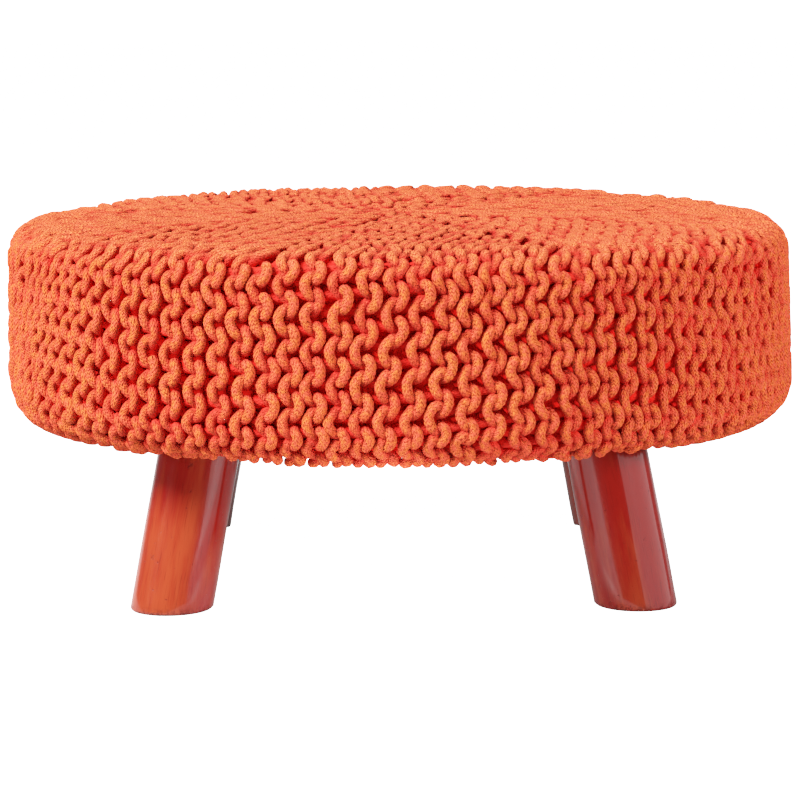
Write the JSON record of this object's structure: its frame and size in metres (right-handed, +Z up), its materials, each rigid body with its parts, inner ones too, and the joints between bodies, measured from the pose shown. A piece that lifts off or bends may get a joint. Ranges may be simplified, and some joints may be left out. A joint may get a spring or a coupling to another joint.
{
  "type": "knitted pouf",
  "caption": "Round filled pouf with a hand-knitted cotton-cord cover in radial garter ridges, on splayed round wooden legs; a low footstool or seat.",
  "frame": {"origin": "on the floor under the middle of the seat: the bottom centre of the bounding box", "axes": "+Z up, -Y towards the picture's viewer, +X to that viewer's right"},
  "size_m": [0.6026, 0.6024, 0.2782],
  "materials": {
    "cord": "thick braided cotton cord, matt, orange-red, knitted in garter stitch",
    "board": "plain unfinished wooden board",
    "leg_wood": "solid round wood, red-brown stain under glossy varnish"
  },
  "bodies": {
    "root": {"knit_cover": "cord", "base_board": "board", "leg_front_left": "leg_wood", "leg_front_right": "leg_wood", "leg_rear_left": "leg_wood", "leg_rear_right": "leg_wood"}
  },
  "joints": []
}
